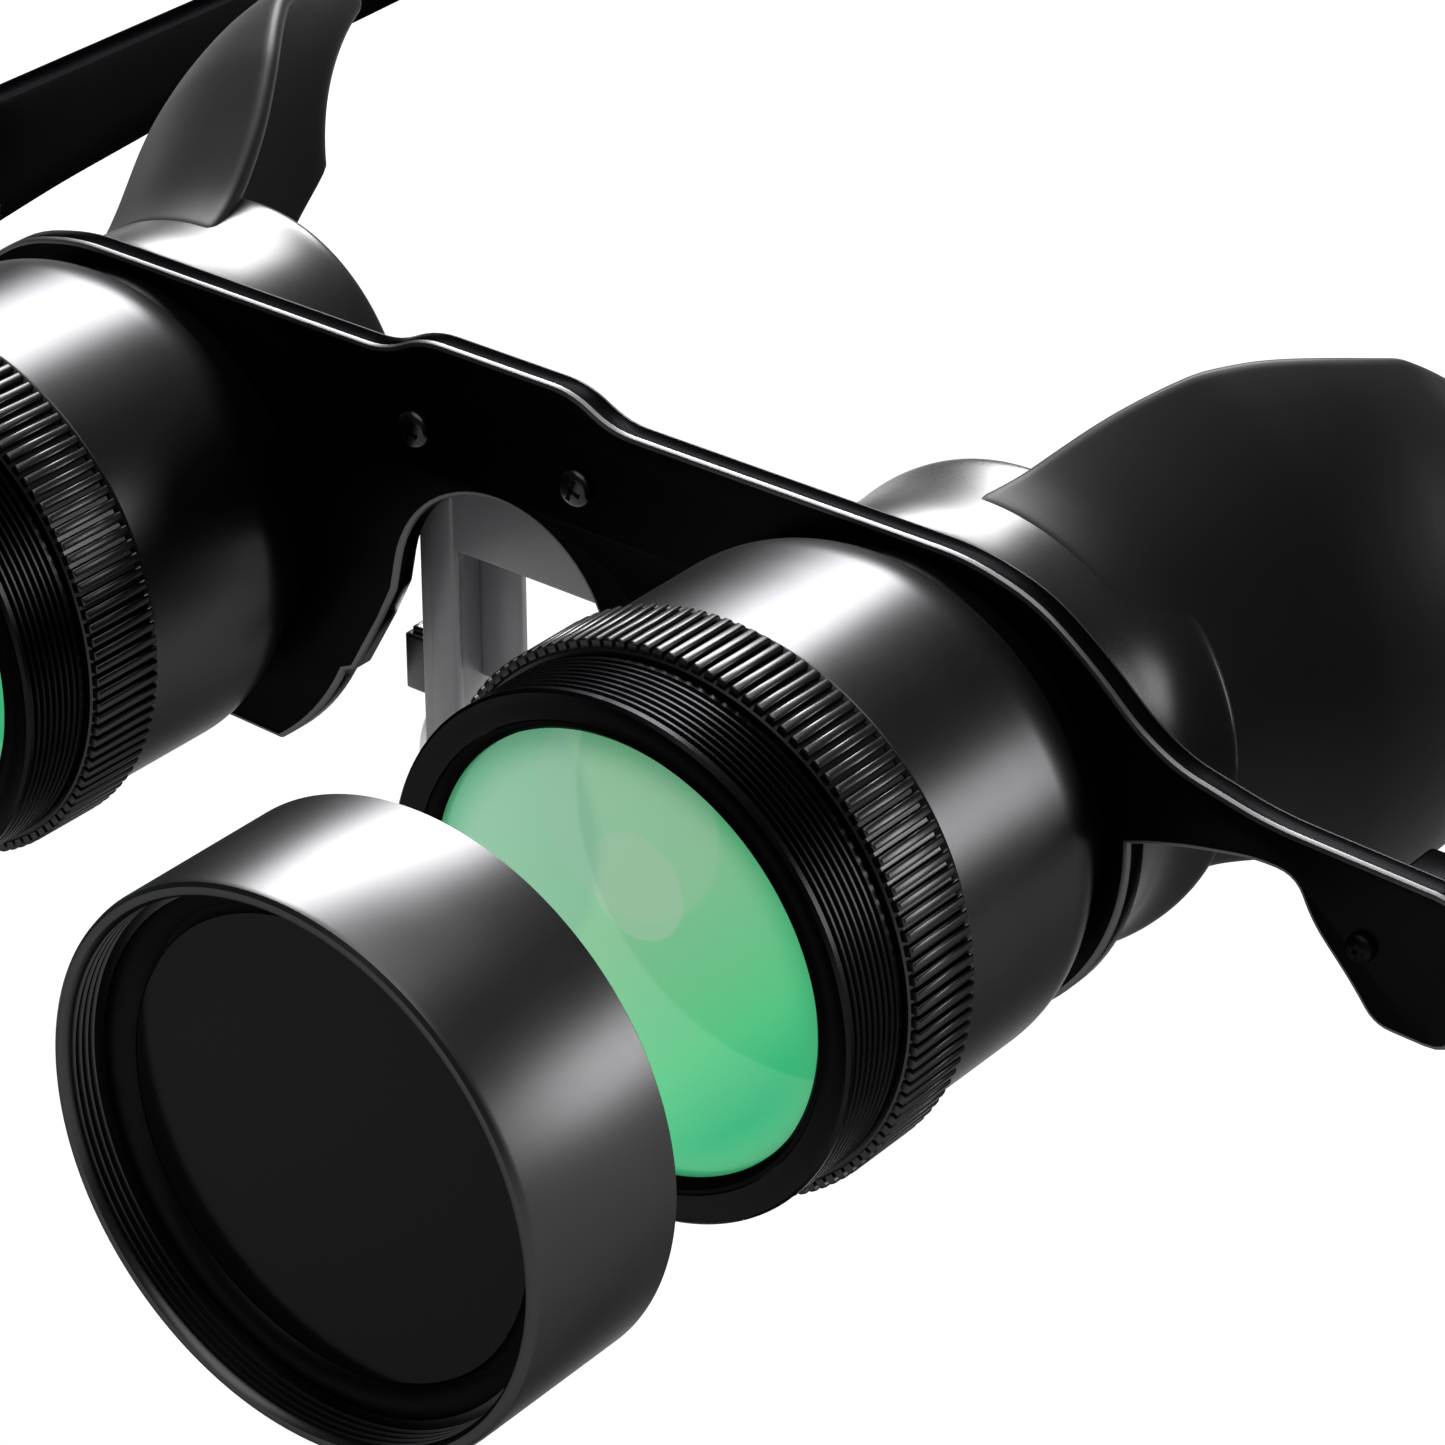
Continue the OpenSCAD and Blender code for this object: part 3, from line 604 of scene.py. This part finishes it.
# %% Mould the bracket, the sliders and the pads
def block(low, high, name, material, body, slot, *nodes, round_by=0.3, extra=()):
    """A rounded block between two corners of (x, station, height)."""
    bm = bmesh.new()
    for a, b in [(low, high), *extra]:
        verts = bmesh.ops.create_cube(bm, size=1)["verts"]
        p, q = spot(*a), spot(*b)
        size = [abs(q[i] - p[i]) for i in range(3)]
        bmesh.ops.scale(bm, vec=size, verts=verts)
        bmesh.ops.translate(bm, vec=(p + q) / 2, verts=verts)
    bmesh.ops.bevel(bm, geom=bm.edges[:], offset=round_by * MM, segments=3, profile=0.5,
                    affect="EDGES", material=-1, clamp_overlap=True)
    return to_object(bm, name, material, body, slot, *nodes, edge=0, smooth=50)


legs = []
for s in (-1, 1):
    legs += [((s * 6.9, -5, -16), (s * 9.1, -0.2, 9.6)),
             ((s * 6.8, -1.0, -15.6), (s * 9.9, -0.25, 9.4)),
             ((s * 3.4, -3.6, -9.4), (s * 7.0, -2.8, 1.2))]
block((-9.2, -2.4, 8.6), (9.2, 1.1, 13.3), "nose_bracket", GREY_PLASTIC, "frame", "grey_plastic",
      "nose_bracket", round_by=0.25, extra=legs + [((-7.8, -2.2, 1.0), (7.8, -0.3, 9.6))])
for side, s in SIDES.items():
    body = f"{side}_nose_slider"
    block((s * 7.0, -6.1, -11.3), (s * 11.9, -5.1, -6.9), f"{side}_slider", DARK_PLASTIC, body,
          "dark_plastic", f"nose_slider_{side}", round_by=0.2,
          extra=[((s * 9.1, -5.6, -11.2), (s * 12.0, -0.9, -7.0))])
    block((s * 9.4, -5.4, -7.05), (s * 11.7, -1.3, -6.55), f"{side}_slider_plate", PLATING, body,
          "bright_plating", f"pad_arm_{side}", round_by=0.2,
          extra=[((s * 11.2, -7.5, -11.6), (s * 12.0, -6.0, -10.2)),
                 ((s * 11.0, -7.6, -15.2), (s * 12.2, -6.4, -11.2))])
    bm = bmesh.new()
    bmesh.ops.create_uvsphere(bm, u_segments=48, v_segments=24, radius=1)
    bmesh.ops.scale(bm, vec=(1.3 * MM, 4.5 * MM, 4.7 * MM), verts=bm.verts)
    bmesh.ops.rotate(bm, cent=(0, 0, 0), verts=bm.verts,
                     matrix=Matrix.Rotation(s * math.radians(-8), 3, "Y"))
    bmesh.ops.translate(bm, vec=spot(s * 12.2, -7, -16.5), verts=bm.verts)
    pad = to_object(bm, f"{side}_pad", CLEAR_SILICONE, body, "clear_silicone", f"nose_pad_{side}",
                    edge=0, smooth=80)
print("nose rest moulded")

# %% [markdown]
# ## Rubber eyecups
# A cup is a soft tube. It is turned like the metal parts, then its rear flares on the
# temple side, where the wing grows out of it, and is sheared so that the rim leans. A
# rubber part shows no sharp corner, so it is subdivided instead of bevelled.

# %% Turn the eyecups and lean their rims
CUP_LEAN = 10.8     # degrees that the rim leans
CUP_SETBACK = 2.8   # the whole rim moves this far towards the plate
CUP_FLARE = 2.3     # how far the rim flares on the temple side


def soft_object(bm, name, material, slot, *nodes, levels=1):
    """A rubber piece: smooth everywhere and rounded by subdivision."""
    piece = to_object(bm, name, material, "frame", slot, *nodes, edge=0, smooth=80)
    rounding = piece.modifiers.new("rounding", "SUBSURF")
    rounding.levels = rounding.render_levels = levels
    return piece


for side in SIDES:
    cup = [(14.5, 0.8), (15.2, 0.85), (15.45, 0.4), (15.55, -0.8), (15.6, -2), (15.55, -3.2),
           (15.5, -4.4), (15.45, -5.6), (15.45, -6.8), (15.5, -8), (15.6, -9), (15.6, -9.6),
           (15.3, -10), (14.9, -9.8), (14.6, -8.6), (14.4, -7), (14, -5.2), (13, -4.4), (12.8, -4),
           (12.8, -3.4), (14.4, -3.3), (14.4, -1.4)]
    bm = lathe(cup, side, 96)
    for v in bm.verts:
        depth = (v.co.y - PLANE_Y) / MM
        lean = max(0, min(1, (depth - 2.5) / 7))
        outward = max(0, SIDES[side] * v.co.x / MM - cx) / 15.5
        flare = outward ** 2 * max(0, min(1, (depth - 2) / 7.5)) ** 2
        v.co.x += SIDES[side] * CUP_FLARE * MM * flare
        tilt = (v.co.z - AXIS_Z) * math.tan(math.radians(CUP_LEAN))
        v.co.y += lean * (tilt - CUP_SETBACK * MM)
    soft_object(bm, f"{side}_cup", CUP_RUBBER, "black_rubber", f"eyecup_{side}")
print("eyecups turned")

# %% [markdown]
# ## Eyecup wings
# On the temple side each cup grows a wing that shades the eye. It is a curved leaf: a
# grid whose rows run back from the cup and whose columns follow a flaring tube. The
# leaf gets its rubber thickness from a Solidify modifier.

# %% Shape the wings
# Each row gives a depth behind the plane and the radius, or the angle of an edge, there.
WING_RADIUS = [(4, 15.45), (6, 15.75), (8, 16.3), (10, 17.3), (13, 19.0), (18, 22.1),
               (21, 23.3), (24, 24.1), (27, 24.3), (30, 24.1), (34, 22.8), (37.5, 21.2)]
WING_UPPER = [(5, 92), (8, 88), (13, 81), (18, 73), (24, 62), (27, 58), (30, 55), (33, 50),
              (36, 42), (37.5, 32)]
WING_LOWER = [(5, 30), (7, 28), (9, 25), (13, 24), (18, 27), (21, 29), (24, 31), (27, 29), (30, 24),
              (33, 17), (36, 8), (37.5, 2)]
WING_START, WING_LENGTH = 4.2, 32.8
LEAF_BACK, LEAF_UP = 2.5, 4.0   # how much further the tip of the left leaf stands


def read(table, at):
    """Reads a smooth value between the rows of a table."""
    for (a, va), (b, vb) in zip(table, table[1:]):
        if at <= b:
            t = max(0, (at - a) / (b - a))
            return va + (vb - va) * t
    return table[-1][1]


for side, s in SIDES.items():
    bm = bmesh.new()
    bmesh.ops.create_grid(bm, x_segments=36, y_segments=36, size=1)
    for v in bm.verts:
        back_by = WING_START + (v.co.x + 1) / 2 * WING_LENGTH
        share = (v.co.y + 1) / 2
        upper, lower = read(WING_UPPER, back_by), read(WING_LOWER, back_by)
        turn = math.radians(upper * share - lower * (1 - share))
        radius = read(WING_RADIUS, back_by)
        # The left leaf stands a little further up and back, as soft rubber does.
        raised = 0 if s > 0 else ((back_by - WING_START) / WING_LENGTH) ** 1.5
        v.co = spot(s * (cx + radius * math.cos(turn)), -back_by - LEAF_BACK * raised,
                    radius * math.sin(turn) + LEAF_UP * raised)
    for _ in range(2):
        bmesh.ops.smooth_vert(bm, verts=[v for v in bm.verts if not v.is_boundary], factor=0.5,
                              use_axis_x=True, use_axis_y=True, use_axis_z=True)
    wing = soft_object(bm, f"{side}_wing", WING_RUBBER, "black_rubber", f"eyecup_wing_{side}")
    wall = wing.modifiers.new("wall", "SOLIDIFY")
    wall.thickness, wall.offset = 1.3 * MM, -1
    wing.modifiers.move(1, 0)
    spot(0, -9, 0)
    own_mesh(wing)
print("wings shaped")

# %% [markdown]
# ## Hinges and temples
# The end of the plate carries a block with two knuckles, and the temple's knuckle sits
# between them on a pin. The temple is a flat bar cut from sheet, bent down behind the
# ear, where a soft sleeve covers it. The side outlines are flat faces that are extruded
# across and bevelled.

# %% Cut the hinge blocks, pins, temples and ear sleeves
def side_slab(outline, x_from, x_to, name, material, body, slot, *nodes, bevel=0.25, segments=2):
    """A flat part from an outline of (depth behind the plane, height), across X."""
    bm = bmesh.new()
    bm.faces.new([bm.verts.new(spot(x_from, -depth, z)) for depth, z in outline])
    grown = bmesh.ops.extrude_face_region(bm, geom=bm.faces[:])
    moved = [g for g in grown["geom"] if isinstance(g, bmesh.types.BMVert)]
    bmesh.ops.translate(bm, vec=((x_to - x_from) * MM, 0, 0), verts=moved)
    bmesh.ops.recalc_face_normals(bm, faces=bm.faces)
    lip = [e for e in bm.edges if abs(e.verts[0].co.x - e.verts[1].co.x) < 1e-7]
    bmesh.ops.bevel(bm, geom=lip, offset=bevel * MM, segments=segments, profile=0.5, affect="EDGES",
                    material=-1, clamp_overlap=True)
    return to_object(bm, name, material, body, slot, *nodes, edge=0, smooth=38)


BEND, START = 38, 92   # radius of the ear bend, and how far behind the plane it starts
tip_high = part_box("ear_tip_right")[1]
for side, s in SIDES.items():
    block((s * 70.5, 1.1, -4.7), (s * 76.0, -14.6, 5.3), f"{side}_hinge_block", PLATE_BLACK,
          "frame", "black_plate", f"hinge_block_{side}", round_by=0.4,
          extra=[((s * 65.6, 1.1, -2.0), (s * 71, -3.2, 4.2))] +
                [((s * 70.7, -14, z), (s * 75.7, -18, z + 3.1)) for z in (-4.75, 2.25)])
    for part, z, top, radius, material, slot_name in (
            ("knuckle_low", -4.75, -1.65, 2.6, PLATE_BLACK, "black_plate"),
            ("knuckle_high", 2.25, 5.35, 2.6, PLATE_BLACK, "black_plate"),
            ("hinge_pin", -4.9, 5.9, 1.65, PIN_STEEL, "dark_steel")):
        bm = bmesh.new()
        bmesh.ops.create_cone(bm, cap_ends=True, segments=48, radius1=radius, radius2=radius,
                              depth=top - z)
        bmesh.ops.scale(bm, vec=(MM, MM, MM), verts=bm.verts)
        bmesh.ops.translate(bm, vec=spot(s * 73.2, -18, (z + top) / 2), verts=bm.verts)
        nodes = [f"hinge_pin_{side}"] if part == "hinge_pin" else []
        to_object(bm, f"{side}_{part}", material, "frame", slot_name, *nodes, edge=0.2)
    bar = soften([(21.5, 0), (21.5, 6.5), (START - 12, 6.5), (START - 7, 5.2), (START - 7, 1.2),
                  (START - 18, 0.0), (58, -0.4), (32, -2.4), (21.5, -3.7), (21.5, 0)], 3)
    side_slab(bar[:-1], s * 73.6, s * 76.0, f"{side}_temple", TEMPLE_BLACK, f"{side}_temple",
              "black_plate", f"temple_{side}", bevel=0.3)
    block((s * 70.7, -18, -1.35), (s * 75.9, -23, 1.95), f"{side}_temple_knuckle", TEMPLE_BLACK,
          f"{side}_temple", "black_plate", round_by=0.35)
    sweep = math.radians(40)
    line = [(START - 6.9, 3.2)]
    line += [(START + BEND * math.sin(sweep * i / 12), 3.2 - BEND + BEND * math.cos(sweep * i / 12))
             for i in range(13)]
    end = line[-1]
    line.append((end[0] + 7.6 * math.cos(sweep), end[1] - 7.6 * math.sin(sweep)))
    over, under = [], []
    for i, (y, z) in enumerate(line):
        before, after = line[max(0, i - 1)], line[min(len(line) - 1, i + 1)]
        way = Vector((after[0] - before[0], after[1] - before[1])).normalized()
        at_end = i == len(line) - 1
        wide = 2.9 + 0.35 * math.sin(i / (len(line) - 1) * math.pi) - (0.9 if at_end else 0)
        over.append((y - way.y * wide, z + way.x * wide))
        under.append((y + way.y * wide, z - way.x * wide))
    side_slab(over + under[::-1], s * 72.9, s * 76.7, f"{side}_ear_sleeve", EAR_RUBBER,
              f"{side}_temple", "black_rubber", f"ear_tip_{side}", bevel=1.2, segments=4)
print("temples cut, ear sleeves on; sleeve reaches", round(tip_high.y / MM, 1), "mm")

# %% [markdown]
# ## The parts that stay as engineering solids
# The guide pins and spring clips are hidden inside and have the right shape already, so
# their nodes stay and only get a finish.

# %% Finish the nodes that stay
kept = {"guide_pin": PIN_STEEL, "focus_clip": PIN_STEEL}
for name, material in kept.items():
    for side in SIDES:
        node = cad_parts[f"{name}_{side}"]
        node.data.materials.clear()
        node.data.materials.append(material)
print("kept", sorted(kept))

# %% [markdown]
# ## Stage, lights and camera
# A black object is described by what it reflects. A large bright panel high behind its
# left gives the long highlight on every barrel, a weaker one behind its right gives the
# grey second reflection, and a broad overhead light gives the soft sheen on top. The
# floor is a light table: its white is nearly all its own glow, so no shadow greys it and
# the lights can be as strong as the reflections need.

# %% Floor, world, lights and camera
FLOOR_GAP = 0.03


def floor_plane():
    bm = bmesh.new()
    bmesh.ops.create_grid(bm, x_segments=2, y_segments=2, size=4)
    bmesh.ops.translate(bm, vec=(0, 0, CAD_BOX[0].z - FLOOR_GAP), verts=bm.verts)
    mesh = bpy.data.meshes.new("floor")
    bm.to_mesh(mesh)
    bm.free()
    floor = bpy.data.objects.new("floor", mesh)
    bpy.context.scene.collection.objects.link(floor)
    f = Finish("floor_white", Specular_IOR_Level=0.0, Roughness=0.9, Emission_Strength=0.92,
               Emission_Color=(1, 1, 1, 1))
    f.feed(Base_Color=f.between(f.noise(3, 2), (0.06, 0.06, 0.06), (0.07, 0.07, 0.07)))
    mesh.materials.append(f.material)


def panel(name, place, aim, width, height, watts):
    """A rectangular softbox that faces a point."""
    light = bpy.data.lights.new(name, "AREA")
    light.shape, light.size, light.size_y = "RECTANGLE", width, height
    light.energy = watts
    lamp = bpy.data.objects.new(name, light)
    lamp.location = place
    lamp.rotation_euler = (Vector(aim) - Vector(place)).to_track_quat("-Z", "Y").to_euler()
    bpy.context.scene.collection.objects.link(lamp)


floor_plane()
world = bpy.data.worlds.new("studio")
bpy.context.scene.world = world
world.use_nodes = True
world.node_tree.nodes["Background"].inputs[0].default_value = (1, 1, 1, 1)
world.node_tree.nodes["Background"].inputs[1].default_value = 0.12
HEART = (0, -0.03, 0.0165)
panel("back_left", (-0.76, 0.95, 1.0), HEART, 0.9, 0.7, 115)
panel("back_right", (1.2, 0.9, 0.35), HEART, 0.5, 0.5, 15)
panel("overhead", (0.1, -0.2, 1.7), HEART, 1.8, 1.8, 32)

bpy.context.scene.view_settings.view_transform = "Standard"
camera = bpy.data.cameras.new("camera")
view = bpy.data.objects.new("camera", camera)
bpy.context.scene.collection.objects.link(view)
bpy.context.scene.camera = view
eye, look = Vector((0.20028, -0.242, 0.18316)), Vector((0.031377, -0.027, 0.027218))
view.location = eye
view.rotation_euler = (look - eye).to_track_quat("-Z", "Y").to_euler()
camera.sensor_width, camera.lens, camera.clip_start = 36, 135.02, 0.001
print("camera", round((look - eye).length / MM, 1), "mm away")
